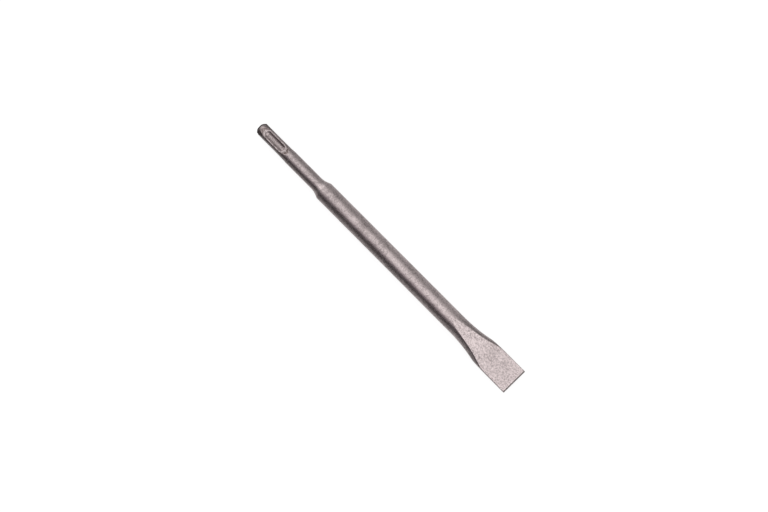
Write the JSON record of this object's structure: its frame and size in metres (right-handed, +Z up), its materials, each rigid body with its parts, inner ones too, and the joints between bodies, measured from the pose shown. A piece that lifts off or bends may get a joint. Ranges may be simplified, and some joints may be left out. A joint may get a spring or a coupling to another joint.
{
  "type": "flat chisel for a rotary hammer",
  "caption": "Flat chisel bit: grooved round shank for a rotary hammer, round body behind a coned shoulder, and a blade forged out wide and thin to a straight cutting edge.",
  "frame": {"origin": "on the surface that the tool lies on, below the middle of its length", "axes": "+X along the tool's axis, from the struck end of the shank to the cutting edge; +Y along the cutting edge; +Z up, square to the wide faces of the blade"},
  "size_m": [0.25, 0.02, 0.014],
  "materials": {
    "forged_steel": "shot-blasted tool steel, warm grey and satin, with a fine even grain"
  },
  "bodies": {
    "root": {"flat_chisel": "forged_steel"}
  },
  "joints": []
}
